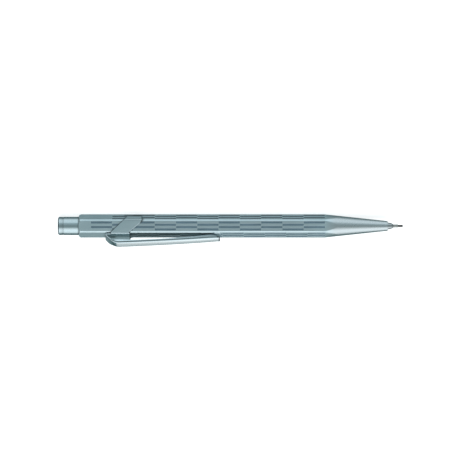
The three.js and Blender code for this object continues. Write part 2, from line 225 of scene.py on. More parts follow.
PLATE = (0.80, 0.90, 0.94)
# the crown colours paint highlights: the plain plate colour on the barrel's leaned patches, a lighter one on
# the clip's top
MATERIALS = {
    "barrel_metal": metal(
        "plated_barrel", PLATE, 0.38, ALONG, 1.0e-6, 0.06,
        engraved=(0.26, 0.345, 0.405), crown=PLATE, turned_end=(0.70, 0.735, 0.75),
    ),
    "clip_spring_steel": metal("plated_clip", PLATE, 0.36, ALONG, 0.8e-6, 0.06, crown=(0.89, 0.915, 0.925)),
    "polished_metal": metal("polished_plate", (0.69, 0.77, 0.80), 0.14, AROUND, 0.5e-6, 0.06),
    "plain_brass": metal("turned_brass", (0.78, 0.60, 0.33), 0.3, AROUND, 1.5e-6, 0.25),
    "chrome": metal("bright_chrome", (0.66, 0.67, 0.68), 0.08, AROUND, 0.3e-6, 0.04),
    "bare_steel": metal("drawn_steel", (0.50, 0.48, 0.46), 0.24, ALONG, 1.0e-6, 0.2),
    "dark_plastic": plastic("moulded_plastic", (0.035, 0.038, 0.042), 0.42),
    "eraser_rubber": plastic("eraser_rubber", (0.78, 0.77, 0.74), 0.85, 0.08, 8e-6, 4000.0, 0.3),
    "black_rubber": plastic("black_rubber", (0.02, 0.02, 0.02), 0.75, 0.2, 6e-6, 3000.0, 0.3),
    "graphite": plastic("graphite", (0.010, 0.010, 0.011), 0.5, 0.3, 3e-6, 6000.0, 0.1),
}


# ---------------------------------------------------------------- mesh helpers

SHARP_ANGLE = 32  # degrees between faces that keep a hard edge
FILLET_STEPS = 4
FILLET_LIMIT = 0.45  # a fillet takes no more than this share of either line
THINNEST = 0.004  # radius that stands for a point on the axis


def clamp(value):
    return min(max(value, 0), 1)


def lerp_table(table, value):
    """Piecewise linear look-up in (position, result) pairs."""
    if value <= table[0][0]:
        return table[0][1]
    for (a, ra), (b, rb) in zip(table, table[1:]):
        if value <= b:
            return ra + (rb - ra) * (value - a) / (b - a)
    return table[-1][1]


def curve(start, pull, end, w):
    """The point at w of a curve from start to end, drawn towards pull."""
    return start * (1 - w) ** 2 + pull * 2 * w * (1 - w) + end * w * w


def piece(name, vertices, faces, slot, replaced=(), body=None, attributes=None, finish=None):
    """A closed mesh in the row frame that stands for CAD nodes and rides on their body."""
    mesh = bpy.data.meshes.new(name)
    mesh.from_pydata([tuple(v) for v in vertices], [], faces)
    work = bmesh.new()
    work.from_mesh(mesh)
    bmesh.ops.recalc_face_normals(work, faces=work.faces)
    work.to_mesh(mesh)
    work.free()
    for key, values in (attributes or {}).items():
        layer = mesh.attributes.new(key, "FLOAT", "POINT")
        layer.data.foreach_set("value", values)
    mesh.shade_smooth()
    mesh.set_sharp_from_angle(angle=math.radians(SHARP_ANGLE))
    mesh.materials.append(MATERIALS[finish or slot])
    obj = bpy.data.objects.new(name, mesh)
    scene.collection.objects.link(obj)
    if replaced:
        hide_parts(*replaced)
    if body:
        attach(obj, body)
    return obj


def skin(loops, ring=False):
    """Vertices and faces of a surface through equal closed loops.

    A ring joins its last loop to its first; otherwise the two ends are capped.
    """
    count = len(loops[0])
    vertices = [v for loop in loops for v in loop]
    faces = []
    spans = len(loops) if ring else len(loops) - 1
    for i in range(spans):
        a, b = i * count, (i + 1) % len(loops) * count
        for j in range(count):
            k = (j + 1) % count
            faces.append((a + j, a + k, b + k, b + j))
    if not ring:
        faces.append(tuple(range(count))[::-1])
        faces.append(tuple(range(len(vertices) - count, len(vertices))))
    return vertices, faces


def arc(centre, radius, start, end, steps):
    """Points of an arc in degrees, both ends included."""
    out = []
    for i in range(steps + 1):
        angle = math.radians(start + (end - start) * i / steps)
        out.append((centre[0] + radius * math.cos(angle), centre[1] + radius * math.sin(angle)))
    return out


def rounded(profile, closed):
    """A profile of (station, radius, fillet) points with each fillet turned into a short curve."""
    out = []
    n = len(profile)
    for i, (s, r, fillet) in enumerate(profile):
        if not fillet or (not closed and i in (0, n - 1)):
            out.append((s, r))
            continue
        here = Vector((s, r))
        before = Vector(profile[i - 1][:2]) - here
        after = Vector(profile[(i + 1) % n][:2]) - here
        a = here + before.normalized() * min(fillet, before.length * FILLET_LIMIT)
        b = here + after.normalized() * min(fillet, after.length * FILLET_LIMIT)
        for k in range(FILLET_STEPS + 1):
            out.append(tuple(curve(a, here, b, k / FILLET_STEPS)))
    return out


def turned(name, profile, slot, replaced, body, sides=96, ring=True, painted_shade=None, finish=None):
    """A body of revolution about the axis from (station, radius, fillet) points.

    Painted shade is given as a table of shade by station.
    """
    loops, shaded = [], []
    for s, r in rounded(profile, ring):
        r = max(r, THINNEST)
        shaded += [lerp_table(painted_shade, s) if painted_shade else 0.0] * sides
        angles = [2 * math.pi * j / sides for j in range(sides)]
        loops.append([place(s, r * math.sin(a), r * math.cos(a)) for a in angles])
    vertices, faces = skin(loops, ring)
    return piece(name, vertices, faces, slot, replaced, body, {"shaded": shaded}, finish)


# ---------------------------------------------------------------- hexagon

CORNER_ROUND = 0.9
COS30 = math.cos(math.pi / 6)
REACH = (FLAT - CORNER_ROUND) / COS30  # centres of the corner rounds
CORNER = REACH + CORNER_ROUND
HALF_FLAT = (FLAT - CORNER_ROUND) * math.tan(math.pi / 6)


def direction(degrees):
    """Unit (y, z) at an angle from straight up towards +y."""
    return Vector((math.sin(math.radians(degrees)), math.cos(math.radians(degrees))))


def across(degrees):
    """Unit (y, z) square to direction(), the way the angle grows."""
    return Vector((math.cos(math.radians(degrees)), -math.sin(math.radians(degrees))))


# ---------------------------------------------------------------- barrel

ENGRAVING = {
    "start": 4.75, "end": 94.55, "columns": 11, "rows": 4, "pitch": 0.885, "half": 0.43, "wall": 0.05,
    "depth": 0.05,
}
CELL_GAP = 0.03  # half of the land between the ends of two cells
CELL_WALL = 0.06  # length of the wall at a cell's end
RIDGES = 4  # fine ridges along the floor of each engraved cell
RIDGE = 0.018  # height of a ridge
CORNER_STEPS = 8
CLIP_FACE_SHIFT = 1.5  # the pattern on the clip's flat starts a little further forward
REAR_RIM = 3.75
REAR_ROUND = 1.1
REAR_STEPS = 6
REAR_END = 2.4  # where the flats are whole
CONE_START = 94.5
CONE_END_RADIUS = 1.88
CONE_STEPS = 24
CONE_SLOPE = (CORNER - CONE_END_RADIUS) / (LENGTH - CONE_START)
CONE_FADE = (0.5, 3.5)  # the turned finish begins this far into the cone, and takes this long to be full
CLEAR = 0.02  # between rows of the loft, and from the hexagon's corners to what is turned on its ends
CONE_POLISH = 0.55
CORNER_POLISH = 0.3
SIDE_CELL_SHADE = 0.7  # painted shade in the cells on the flats beside the bottom one
FLAT_DARKENING = [(10.0, 0.0), (26.0, 0.13), (88.0, 0.13), (94.0, 0.0)]  # painted darkening of the side flats' middle
FINE_ROWS = {0: 10, 1: 18, 2: 12, 4: 4, 5: 18, 6: 6}  # extra rows of the loft where the clip's shade is painted
BORES = [  # (station, radius) from front to rear
    (LENGTH, 1.5), (LENGTH - 0.08, 1.42), (108.0, 1.42), (108.0, 2.45), (93.0, 2.45), (93.0, 3.1),
    (60.0, 3.1), (30.0, 3.1), (11.0, 3.1), (11.0, 3.6), (4.0, 3.6), (0.06, 3.6), (0.0, 3.66),
]

# Painted shade of the clip on the barrel. Reach is the distance across the flat beside the clip's, away from
# the clip.
UNDER_CLIP = [  # painted shadow of the arm on the clip's flat
    (9.6, 0.0), (10.5, 0.4), (11.5, 0.7), (13.0, 0.8), (30.0, 0.75), (42.0, 0.5), (50.0, 0.4), (51.0, 0.3),
    (51.8, 0.0),
]
UNDER_CLIP_HALF = 1.65
UNDER_CLIP_FADE = 0.3
STRAP_REAR = [(-2.35, 12.25), (2.4, 17.25), (3.9, 18.55)]  # the strap's rear edge: (reach, station)
STRAP_FRONT = [
    (-5.5, 19.85), (-2.7, 19.85), (-2.35, 19.6), (1.3, 23.9), (2.0, 24.45), (2.6, 24.62), (3.2, 24.5),
    (3.6, 24.2), (3.9, 23.6),
]
# painted contact shade round the strap: behind it, under it, ahead of it and along the wing's end
STRAP_SHADE = 0.6
STRAP_FADE = 0.6
CORNER_SHADE, CORNER_REACH = 0.9, 1.3  # the painted shadow line in front of the strap's corner
PLAIN_SHADE = 0.15  # and of the rest of its front edge
WING_END_SHADE = [(17.0, 0.0), (17.9, 0.75), (20.6, 0.8), (21.4, 1.0), (24.0, 1.0), (24.7, 0.0)]
WING_END_REACH, WING_END_LINE, WING_END_FADE = 3.6, 4.0, 0.28
# painted highlights: here the clip's flat leans outwards and takes the crown colour
TIP_GLINT = {"start": 51.6, "end": 54.4, "fade": 0.6, "from": 0.3, "lean": 7.5}  # by the clip's tip
EDGE_GLINT = {"start": 13.0, "end": 53.5, "fade": 0.08, "from": 1.5, "lean": 4.0, "facing": 0.85}  # under the clip


def barrel_lines():
    """Every line that runs the barrel's length.

    Each is (outline point, outward normal, face, row of cells, depth of the cells, 1 on a rounded corner).
    """
    lines = []
    e = ENGRAVING
    for k in range(6):
        out, side = direction(60 * k), across(60 * k)
        marks = [(-HALF_FLAT, None, 0.0)]
        for row in range(e["rows"]):
            middle = (row - 1.5) * e["pitch"]
            marks.append((middle - e["half"], row, 0.0))
            floor_half = e["half"] - e["wall"]
            for i in range(2 * RIDGES + 1):
                t = -floor_half + floor_half * i / RIDGES
                marks.append((middle + t, row, e["depth"] - (RIDGE if i % 2 else 0)))
            marks.append((middle + e["half"], row, 0.0))
        marks.append((HALF_FLAT, None, 0.0))
        for t, row, depth in marks:
            lines.append((out * FLAT + side * t, out, k, row, depth, 0.0))
        centre = direction(60 * k + 30) * REACH
        for i in range(1, CORNER_STEPS):
            normal = direction(60 * k + 60 * i / CORNER_STEPS)
            lines.append((centre + normal * CORNER_ROUND, normal, k, None, 0.0, 1.0))
    return lines


def is_cut(face, column, row):
    """Whether the chequer has a cell here. The clip's flat and faces 2 and 4 lack the first column."""
    if row is None or (column == 0 and face in (0, 2, 4)):
        return False
    return (column + row) % 2 == 1


def contact_shade(s, p):
    """Painted shade on the barrel's outside beside the clip: the arm's shadow and the strap's contact
    shadows.
    """
    if p.y > FLAT - 0.12 and abs(p.x) < HALF_FLAT + 0.1:
        return lerp_table(UNDER_CLIP, s) * clamp((UNDER_CLIP_HALF - abs(p.x)) / UNDER_CLIP_FADE)
    reach = Vector((abs(p.x), p.y)).dot(across(60))
    behind = lerp_table(STRAP_REAR, reach) - s
    ahead = s - lerp_table(STRAP_FRONT, reach)
    if reach > WING_END_REACH:
        return lerp_table(WING_END_SHADE, s) * clamp(1.5 - abs(reach - WING_END_LINE) / WING_END_FADE)
    if behind > 0:
        return STRAP_SHADE * max(1 - behind / STRAP_FADE, 0)
    if ahead > 0:
        return (CORNER_SHADE if reach > CORNER_REACH else PLAIN_SHADE) * max(1 - ahead / STRAP_FADE, 0)
    return STRAP_SHADE


def edge_lean(s, p, normal):
    """How much the clip's flat leans outwards, for painted highlights: along its edges under the clip, and by
    the tip.
    """
    if normal.y > 0.99 and abs(p.x) > TIP_GLINT["from"] and TIP_GLINT["start"] < s < TIP_GLINT["end"]:
        fade = min(s - TIP_GLINT["start"], (TIP_GLINT["end"] - s) / TIP_GLINT["fade"], 1)
        return math.copysign(TIP_GLINT["lean"], p.x) * fade
    if not EDGE_GLINT["start"] < s < EDGE_GLINT["end"] or abs(p.x) < EDGE_GLINT["from"] or normal.y < EDGE_GLINT["facing"]:
        return 0.0
    return math.copysign(EDGE_GLINT["lean"], p.x) * min((normal.y - EDGE_GLINT["facing"]) / EDGE_GLINT["fade"], 1)


def pattern_stations(face):
    """(station, column, whether it lies on a cell's floor) for one flat, from rear to front."""
    e = ENGRAVING
    length = (e["end"] - e["start"]) / e["columns"]
    shift = CLIP_FACE_SHIFT if face == 0 else 0.0
    out = [(REAR_END, None, False)]
    for c in range(e["columns"]):
        a = e["start"] + c * length + CELL_GAP + shift
        b = min(e["start"] + (c + 1) * length - CELL_GAP + shift, e["end"])
        fine = FINE_ROWS.get(c, 0) + 1
        floor = [a + CELL_WALL + (b - a - 2 * CELL_WALL) * i / fine for i in range(fine + 1)]
        out += [(a, c, False)] + [(s, c, True) for s in floor] + [(b, c, False)]
    return out


def line_rows(point, face, row, depth, corner):
    """One line of the barrel from rear to front, as (station, scale, cut, turned, painted shade)."""
    radius = point.length
    rows = []
    # the turned rear edge, with painted shade where it meets the cap
    full = CORNER + CLEAR - REAR_RIM
    stop = math.pi - math.asin((radius - REAR_RIM) / full)
    for i in range(REAR_STEPS + 1):
        a = math.pi + (stop - math.pi) * i / REAR_STEPS
        s = REAR_ROUND + REAR_ROUND * math.cos(a)
        rows.append((s, (REAR_RIM + full * math.sin(a)) / radius, 0.0, 0.0, max(0.75 - 0.25 * i, 0)))
    # the flats with their cells
    meet = CONE_START + (CORNER - radius) / CONE_SLOPE + CLEAR
    stations = pattern_stations(face)
    for i, (s, c, floor) in enumerate(stations):
        s = min(s, meet - CLEAR * (len(stations) - i))
        cut = depth if floor and is_cut(face, c, row) else 0.0
        # painted shade in the side flats' cells, and painted darkening along the side flats' middle
        patina_and_shade = SIDE_CELL_SHADE if cut > 0 and face in (2, 4) else 0.0
        if face in (1, 5) and not corner and not cut:
            patina_and_shade = lerp_table(FLAT_DARKENING, s)
        rows.append((s, 1.0, cut, 0.0, max(patina_and_shade, contact_shade(s, point))))
    # the cone, from where it meets the hexagon
    for i in range(CONE_STEPS + 1):
        s = meet + (LENGTH - 0.06 - meet) * i / CONE_STEPS
        end = clamp((s - CONE_START - CONE_FADE[0]) / CONE_FADE[1])
        rows.append((s, (CORNER - CONE_SLOPE * (s - CONE_START - CLEAR)) / radius, 0.0, end, 0.0))
    rows.append((LENGTH - 0.02, (CONE_END_RADIUS - 0.025) / radius, 0.0, 1.0, 0.0))
    rows.append((LENGTH, (CONE_END_RADIUS - 0.09) / radius, 0.0, 1.0, 0.0))
    return rows


def build_barrel():
    columns = []
    for point, normal, face, row, depth, corner in barrel_lines():
        columns.append((point, normal, line_rows(point, face, row, depth, corner), corner))
    loops = []
    marks = {name: [] for name in ("engraved", "polish", "shaded", "turned", "crown")}
    for i in range(len(columns[0][2])):
        loop = []
        for point, normal, rows, corner in columns:
            s, scale, cut, end, painted_shade = rows[i]
            p = point * scale - normal * cut
            loop.append(place(s, p.x, p.y))
            polish = corner * CORNER_POLISH
            marks["engraved"].append(1.0 if cut > 0 else 0.0)
            marks["polish"].append(polish + (CONE_POLISH - polish) * end)
            marks["shaded"].append(painted_shade)
            marks["turned"].append(end)
            marks["crown"].append(edge_lean(s, p, normal))
        loops.append(loop)
    for s, r in BORES:
        loops.append([place(s, *(point.normalized() * r)) for point, *_ in columns])
        for values in marks.values():
            values += [0.0] * len(columns)
    vertices, faces = skin(loops, ring=True)
    piece("engraved_barrel", vertices, faces, "barrel_metal", ["barrel"], "barrel", marks)


# ---------------------------------------------------------------- clip

SEAT = FLAT + 0.05
SHEET = 0.45
BEND = 0.15  # inside radius of the strap's bends
PLATE_LIFT = 0.3  # how much higher the base plate stands
STRAP_REACH = (SEAT - BEND) / COS30
STRAP_HALF = (SEAT - BEND) * math.tan(math.pi / 6)
# worn edge of the sheet: (in, up)
WALL = [(0.0, 0.05), (0.04, 0.24), (0.12, 0.36), (0.24, 0.42), (0.36, 0.45)]
WING_END = [(-0.3, 1.0), (-0.12, 0.92), (0.0, 0.7), (0.12, 0.25)]  # a wing's end: (distance along, height)
FRONT_EDGE_SHADE = [(-2.5, 1.0), (-2.0, 0.15), (1.0, 0.15), (1.5, 1.0)]  # painted shade on the front edge, by reach
EDGE_WIDTH = 0.3
BEND_STEPS = 8
PLATE_POINTS = 12  # points of the ring that belong to the base plate
PLATE_SHADOW = (0.5, 0.8, 0.25)  # the arm's painted shadow down the base plate: middle, width, depth
FOLD_SHADOW = ((13.4, 0.8), (-0.3, 0.55))  # painted dark corner inside the fold: (middle, width) along and across


def strap_ring():
    """The strap's underside, from the middle of the base plate to a wing's end.

    Each entry is (point, normal, height of the sheet, painted shade).
    """
    # painted shade: slight at the main face's end, more on the upper bend, full at the wing's end
    out = []
    inner = SEAT - BEND
    side = (inner - (inner + PLATE_LIFT) / 2) / COS30  # centre of the lifted bend
    lifted = Vector((side, inner + PLATE_LIFT))
    for i in range(9):
        out.append((Vector((side * i / 8, SEAT + PLATE_LIFT)), direction(0), 1.0, 0.0))
    for i in range(1, BEND_STEPS):
        n = direction(60 / BEND_STEPS * i)
        out.append((lifted + n * BEND, n, 1.0, 0.0))
    start = lifted.dot(across(60))
    for i in range(17):
        t = start + (STRAP_HALF - start) * i / 16
        out.append((direction(60) * SEAT + across(60) * t, direction(60), 1.0, 0.1 * (i > 14)))
    upper = direction(90) * STRAP_REACH
    for i in range(1, BEND_STEPS):
        n = direction(60 + 60 / BEND_STEPS * i)
        out.append((upper + n * BEND, n, 1.0, 0.35))
    for i in range(11):
        t = -STRAP_HALF + (STRAP_HALF + WING_END[0][0]) * i / 11
        out.append((direction(120) * SEAT + across(120) * t, direction(120), 1.0, 0.5 if i < 2 else 0.0))
    for t, height in WING_END:
        out.append((direction(120) * SEAT + across(120) * t, direction(120), height, 1.0))
    return out


def plate_painted_shade(s, y):
    """Painted shade on the base plate: the arm's shadow down its middle, and the dark corner inside the fold.
    """
    middle, width, depth = PLATE_SHADOW
    band = depth * math.exp(-(((y - middle) / width) ** 2))
    (along, length), (sideways, half) = FOLD_SHADOW
    corner = math.exp(-(((s - along) / length) ** 2) - ((y - sideways) / half) ** 2)
    return min(band + corner, 1.0)


def strap_section(point, normal, height, painted_shade):
    """A closed loop across the strap, as (station, point, painted shade)."""
    reach = (point + normal * SHEET).dot(across(60))
    rear, front = lerp_table(STRAP_REAR, reach), lerp_table(STRAP_FRONT, reach)
    # painted shade on the sheet's edges and on its hidden underside
    rear_shade = 1.0 if reach > -2.5 else 0.6
    front_shade = lerp_table(FRONT_EDGE_SHADE, reach)
    across_top = 16
    section = [(rear + i, h, rear_shade if i < EDGE_WIDTH else painted_shade) for i, h in WALL]
    width = front - rear - 2 * WALL[-1][0]
    section += [(rear + WALL[-1][0] + width * j / across_top, SHEET, painted_shade) for j in range(1, across_top)]
    section += [(front - i, h, front_shade if i < EDGE_WIDTH else painted_shade) for i, h in reversed(WALL)]
    section += [(front - 0.03, 0.0, 1.0)]
    section += [(front - (front - rear) * w, 0.0, 1.0) for w in (0.25, 0.5, 0.75)]
    section += [(rear + 0.03, 0.0, 1.0)]
    return [(s, point + normal * max(h * height, 0), shade) for s, h, shade in section]


def build_strap():
    ring = strap_ring()
    loops, shaded = [], []
    last = len(ring) - 1
    for side in (-1, 1):
        order = range(last, 0, -1) if side < 0 else range(last + 1)
        for i in order:
            section = strap_section(*ring[i])
            loops.append([place(s, side * p.x, p.y) for s, p, _ in section])
            plate = i < PLATE_POINTS
            shaded += [max(shade, plate_painted_shade(s, side * p.x) if plate else 0.0) for s, p, shade in section]
    vertices, faces = skin(loops)
    piece("clip_wrap", vertices, faces, "clip_spring_steel", ["clip_strap"], "barrel", {"shaded": shaded})


FOLD_RADIUS = 0.62
FOLD = (10.87, SEAT + PLATE_LIFT + FOLD_RADIUS)
RAMP_FOOT = 53.0  # slope of the ramp where it leaves the fold
RAMP_BOW = Vector((11.58, 6.94))
RAMP_TOP = Vector((13.1, 7.75))
CREST = Vector((14.48, 8.485))
ARM_START = Vector((15.6, 8.44))
ARM_BOW = Vector((35.0, 7.65))
ARM_END = Vector((54.3, 6.05))
TONGUE = 12.35  # where the sheet of the fold meets the strap
FOLD_STEPS, RAMP_STEPS, CREST_STEPS, ARM_STEPS = 18, 8, 10, 60
FOLD_POINTS = 2 + FOLD_STEPS + 1  # the path's points up to the ramp
CREST_POINTS = 41  # the path's points up to the straight part of the arm
RAMP_CHEEK = [  # depth of a cheek
    (11.8, 0.48), (12.6, 0.62), (13.2, 0.82), (13.9, 1.15), (14.5, 1.38), (15.6, 1.48),
]
CHEEK = [  # height of a cheek's lower edge
    (15.6, 6.96), (18.5, 7.05), (22.0, 7.1), (25.0, 7.0), (29.0, 6.78), (33.0, 6.52), (37.0, 6.22),
    (40.0, 5.95), (43.0, 5.62), (45.5, 5.27), (47.5, 4.9), (49.0, 4.55), (50.2, 4.3), (51.0, 4.24),
    (51.8, 4.36), (52.5, 4.64), (53.1, 5.0), (53.6, 5.38), (54.3, 5.75),
]
NOSE = 50.0  # beyond this station the cheek's edge isn't smoothed
CHEEK_LEAN = [(15.0, 0.0), (20.0, 3.0), (30.0, 12.0), (40.0, 17.0), (54.0, 20.0)]  # inwards, in degrees
ARM_WIDTH = [(15.0, 1.95), (30.0, 1.93), (50.0, 1.87), (53.6, 1.7)]  # half of it
TIP_ROUND = 1.0
FRONT_WALL = (53.55, 0.2)  # the channel closes from this station, over this length
# the two curves of its rolled edge: (degrees from, degrees to, radius, width of the facet after it)
SHOULDER = [(0, 52, 0.4, 0.5), (68, 90, 0.2, 0.0)]


def arm_path():
    """The outer face of the arm from the side, from where it leaves the strap to its tip."""
    path = [Vector((TONGUE, SEAT + PLATE_LIFT)), Vector((11.6, SEAT + PLATE_LIFT))]
    path += [Vector(p) for p in arc(FOLD, FOLD_RADIUS, 270, 90 + RAMP_FOOT, FOLD_STEPS)]
    foot = path[-1]
    path += [curve(foot, RAMP_BOW, RAMP_TOP, i / RAMP_STEPS) for i in range(1, RAMP_STEPS + 1)]
    path += [curve(RAMP_TOP, CREST, ARM_START, i / CREST_STEPS) for i in range(1, CREST_STEPS + 1)]
    for i in range(1, ARM_STEPS + 1):
        w = 1 - (1 - i / ARM_STEPS) ** 1.35  # closer together towards the tip
        path.append(curve(ARM_START, ARM_BOW, ARM_END, w))
    return path


def smooth_table(table, value):
    """Look-up that averages its neighbourhood, so that a table makes a smooth edge."""
    return sum(lerp_table(table, value + d) for d in (-0.6, -0.3, 0.0, 0.3, 0.6)) / 5


def shoulder(size):
    """The rolled edge between the arm's top and its side, as (distance out, depth) points."""
    points = [(0.0, 0.0)]
    for start, end, radius, facet in SHOULDER:
        y, depth = points[-1]
        a = math.radians(start)
        for i in range(1, 5):
            b = math.radians(start + (end - start) * i / 4)
            out, down = radius * (math.sin(b) - math.sin(a)), radius * (math.cos(a) - math.cos(b))
            points.append((y + out, depth + down))
        if facet:
            y, depth = points[-1]
            middle = math.radians((end + SHOULDER[1][0]) / 2)
            for w in (0.33, 0.67, 1.0):
                points.append((y + facet * w * math.cos(middle), depth + facet * w * math.sin(middle)))
    return [(y * size, depth * size) for y, depth in points]


def arm_section(s, z, folded):
    """Half of the channel's section, from the middle of its outer face round to the middle of its inner face.

    Points are (half width, depth). The folded part is plain sheet.
    """
    is_arm = not folded and s > RAMP_CHEEK[-1][0]
    half = lerp_table(ARM_WIDTH, s) if is_arm else ARM_WIDTH[0][1]
    begin = ARM_END.x + 0.2 - TIP_ROUND
    if is_arm and s > begin:
        half += TIP_ROUND * (math.sqrt(max(1 - ((s - begin) / TIP_ROUND) ** 2, 0)) - 1)
    if is_arm:
        cheek = z - (lerp_table(CHEEK, s) if s > NOSE else smooth_table(CHEEK, s))
    else:
        cheek = 0.0 if folded else lerp_table(RAMP_CHEEK, s)
    depth = max(cheek, SHEET + 0.03)
    closed = clamp((s - FRONT_WALL[0]) / FRONT_WALL[1]) if is_arm else 0.0
    roof = SHEET + (depth - 0.02 - SHEET) * closed
    lip = min(0.1, (depth - roof) / 2)
    edge = shoulder(0.3 + 0.7 * clamp((depth - 0.5) / 0.25))
    out, down = edge[-1]
    lean = math.tan(math.radians(lerp_table(CHEEK_LEAN, s))) if is_arm else 0.0
    side = [
        (half, max(depth - lip - 0.3, down + 0.01)), (half, depth - lip), (half - lip, depth),
        (half - SHEET + lip, depth), (half - SHEET, depth - lip),
    ]
    side = [(y - lean * max(d - down, 0), d) for y, d in side]
    points = [(0.0, 0.0), ((half - out) * 0.5, 0.0)]
    points += [(half - out + y, d) for y, d in edge]
    points += side
    points += [(half - SHEET - 0.02, roof + 0.01), (half - SHEET - 0.12, roof), (0.0, roof)]
    return points


NEAR_LEAN = [(16.0, 1.2), (30.0, 1.6), (48.0, 2.2)]  # how much more the near edge of the arm's top leans
TOP_DEPTH = 0.12  # what is less deep belongs to the arm's top
FACET_DEPTHS = (0.25, 0.64)  # and this to its edge's facet
# painted shade of the arm: its edge's facet, the inside of the channel and of the fold, and the cheeks
FACET_SHADE = [(14.5, 0.4), (17.0, 0.62), (40.0, 0.55), (53.0, 0.5)]
INNER_SHADE = [(14.0, 0.2), (24.0, 0.3), (28.0, 0.7), (45.0, 0.8), (50.5, 0.6), (52.0, 0.0)]
CHEEK_SHADE = [(10.0, 0.35), (12.5, 0.3), (13.5, 0.0), (36.0, 0.0), (42.0, 0.3), (48.0, 0.62), (53.0, 0.66)]
FOLD_INSIDE = 0.35
FOLD_BACK, FOLD_FOOT, FOLD_MIDDLE = 0.45, 0.15, 10.9  # the fold's outside behind and in front of its middle
BEND_LINE, BEND_SKEW, BEND_WIDTH = 13.45, 0.35, 0.7  # the painted dark line over the crest's bend
BEND_NEAR = 1.2  # it ends this far towards the near side
NOSE_SHADE_FROM, NOSE_EDGE = 49.5, 0.25  # the cheeks' lower edge is painted dark from this station, to this height
TIP_TOP_SHADE, TIP_SIDE_SHADE = (53.6, 0.4), (52.8, 0.5)  # the tip's painted shade: (station, length of the fade)


def arm_painted_shade(s, y, depth, cheek, folded):
    """Painted shade on the arm: inside the fold and the channel, at the crest's bend, on the sides, at the
    tip.
    """
    if folded:
        if depth > SHEET - 0.01:
            return FOLD_INSIDE
        return FOLD_BACK if s < FOLD_MIDDLE else FOLD_FOOT
    if depth > SHEET - 0.01 and abs(y) < ARM_WIDTH[-1][1] - SHEET + 0.1:
        return lerp_table(INNER_SHADE, s)
    painted_shade = max(1 - abs(s - BEND_LINE + BEND_SKEW * y) / BEND_WIDTH, 0) * clamp((BEND_NEAR - y) / BEND_NEAR)
    if s < 13.2 and y > 1.0:
        painted_shade = max(painted_shade, FOLD_INSIDE)
    if depth < TOP_DEPTH:
        return max(painted_shade, clamp((s - TIP_TOP_SHADE[0]) / TIP_TOP_SHADE[1]))
    if FACET_DEPTHS[0] < depth < FACET_DEPTHS[1]:
        painted_shade = max(painted_shade, lerp_table(FACET_SHADE, s))
    if s > NOSE_SHADE_FROM and depth > cheek - NOSE_EDGE:
        return 1.0
    side = clamp((depth - 0.4) / 0.25)
    tip = clamp((s - TIP_SIDE_SHADE[0]) / TIP_SIDE_SHADE[1])
    return max(painted_shade, lerp_table(CHEEK_SHADE, s) * side, tip)


def build_arm():
    path = arm_path()
    loops, crown, polish, shaded = [], [], [], []
    for i, p in enumerate(path):
        folded = i < FOLD_POINTS
        reach = 3 if FOLD_POINTS < i < CREST_POINTS else 1
        run = (path[min(i + reach, len(path) - 1)] - path[max(i - reach, 0)]).normalized()
        inward = Vector((run.y, -run.x))
        half = arm_section(p.x, p.y, folded)
        whole = half + [(-y, d) for y, d in reversed(half[1:-1])]
        cheek = max(d for _, d in half)
        loops.append([place(p.x + inward.x * d, y, p.y + inward.y * d) for y, d in whole])
        on_top = p.x > CREST.x
        lean = lerp_table(NEAR_LEAN, p.x)
        # the arm's top takes the crown colour and a leaned normal, a painted highlight
        crown += [(lean if y > 0.3 else 1.0) if d < 0.01 and on_top else 0.0 for y, d in whole]
        shaded += [arm_painted_shade(p.x, y, d, cheek, folded) for y, d in whole]
        polish += [0.8 if i > FOLD_POINTS else 0.3] * len(whole)
    vertices, faces = skin(loops)
    arm = piece("clip_spring_arm", vertices, faces, "clip_spring_steel", ["clip_arm"],
                attributes={"crown": crown, "polish": polish, "shaded": shaded})
    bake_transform(arm)


# ---------------------------------------------------------------- turned pieces


# painted shade: in and round the cap's groove, and the cap's shadow line at the barrel's mouth
CAP_SHADE = [(-7.3, 0.0), (-6.9, 0.14), (-6.35, 0.2), (-6.3, 0.24), (-5.9, 0.24), (-5.85, 0.14), (-5.2, 0.0),
             (-0.6, 0.0), (-0.3, 0.3), (0.0, 0.75), (0.3, 0.5), (0.7, 0.0)]
# painted shade on the nozzle's front, standing in for its dark reflection
NOZZLE_SHADE = [(118.4, 0.0), (119.3, 0.3), (120.9, 0.45)]


